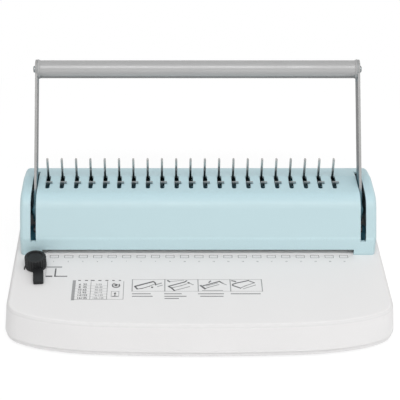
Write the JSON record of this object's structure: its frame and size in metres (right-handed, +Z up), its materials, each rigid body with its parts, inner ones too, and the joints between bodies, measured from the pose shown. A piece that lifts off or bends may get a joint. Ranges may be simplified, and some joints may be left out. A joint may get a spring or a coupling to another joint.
{
  "type": "comb binding machine",
  "caption": "Desk punch and binder for plastic ring combs: white base with a table, pale cover with a row of comb fingers, and a full-width swing lever.",
  "frame": {"origin": "on the desk, under the middle of the whole machine at rest", "axes": "+X to the user's right along the row of holes, +Y away from the user, +Z up; the paper throat faces -Y"},
  "size_m": [0.3686, 0.2432, 0.1919],
  "materials": {
    "white_plastic": "fine satin moulding, near white",
    "pale_blue_plastic": "fine satin moulding, pale blue-green",
    "black_rubber": "matte black rubber",
    "zinc_plated_steel": "zinc plated",
    "polished_steel": "ground steel",
    "painted_arm_steel": "light grey satin paint",
    "silver_painted_tube": "silver satin paint",
    "black_plastic": "black satin moulding",
    "grey_plastic": "grey acetal",
    "brass_bush": "turned",
    "spring_steel": "drawn wire"
  },
  "bodies": {
    "base": {"base_shell": "white_plastic", "bottom_plate": "white_plastic", "top_cover": "pale_blue_plastic", "rubber_feet": "black_rubber", "bottom_screws": "zinc_plated_steel", "cover_screws": "zinc_plated_steel", "plate_screws": "zinc_plated_steel", "frame_screws": "zinc_plated_steel", "die_plate": "polished_steel", "guide_plate": "polished_steel", "paper_stop": "polished_steel", "comb_finger_plate": "polished_steel", "tie_rods": "polished_steel", "lever_stop_pins": "polished_steel", "throat_spacer_left": "grey_plastic", "throat_spacer_right": "grey_plastic", "frame_plate_left": "zinc_plated_steel", "frame_plate_right": "zinc_plated_steel", "shaft_bush_left": "brass_bush", "shaft_bush_right": "brass_bush", "slider_rail_left": "grey_plastic", "slider_rail_right": "grey_plastic", "punch_post_left": "polished_steel", "punch_post_right": "polished_steel"},
    "lever": {"lever_arm_left": "painted_arm_steel", "lever_arm_right": "painted_arm_steel", "handle_tube": "silver_painted_tube", "handle_plug_left": "silver_painted_tube", "handle_plug_right": "silver_painted_tube", "handle_screws": "zinc_plated_steel", "main_shaft": "polished_steel", "arm_screws": "zinc_plated_steel", "punch_cam_left": "polished_steel", "punch_cam_middle": "polished_steel", "punch_cam_right": "polished_steel", "slider_cam_left": "polished_steel", "slider_cam_right": "polished_steel"},
    "punch": {"punch_bar": "polished_steel", "punch_pins": "polished_steel", "punch_spring_left": "spring_steel", "punch_spring_right": "spring_steel"},
    "hooks": {"hook_slider": "zinc_plated_steel"},
    "edge_guide": {"guide_knob": "black_plastic", "guide_stem": "black_plastic", "stem_clip": "zinc_plated_steel", "knob_screw": "zinc_plated_steel"},
    "tray": {"chip_tray": "white_plastic"}
  },
  "joints": [
    {"name": "lever_swing", "type": "hinge", "parent": "base", "child": "lever", "pos_m": [0, 0.02426, 0.0693], "axis": [1, 0, 0], "range_deg": [0, 130]},
    {"name": "punch_stroke", "type": "slide", "parent": "base", "child": "punch", "axis": [0, 0, -1], "range_m": [0, 0.007], "deforming": ["punch_spring_left", "punch_spring_right"]},
    {"name": "hook_travel", "type": "slide", "parent": "base", "child": "hooks", "axis": [0, 1, 0], "range_m": [0, 0.009]},
    {"name": "edge_guide_turn", "type": "hinge", "parent": "base", "child": "edge_guide", "pos_m": [-0.15868, -0.02674, 0.0375], "axis": [0, 0, 1], "range_deg": [-45, 18]},
    {"name": "tray_slide", "type": "slide", "parent": "base", "child": "tray", "axis": [0, 1, 0], "range_m": [0, 0.1]}
  ],
  "couplings": [
    {"joint": "punch_stroke", "follows": "lever_swing", "m_per_rad": 0.0030852},
    {"joint": "hook_travel", "follows": "lever_swing", "m_per_rad": 0.0039666}
  ]
}
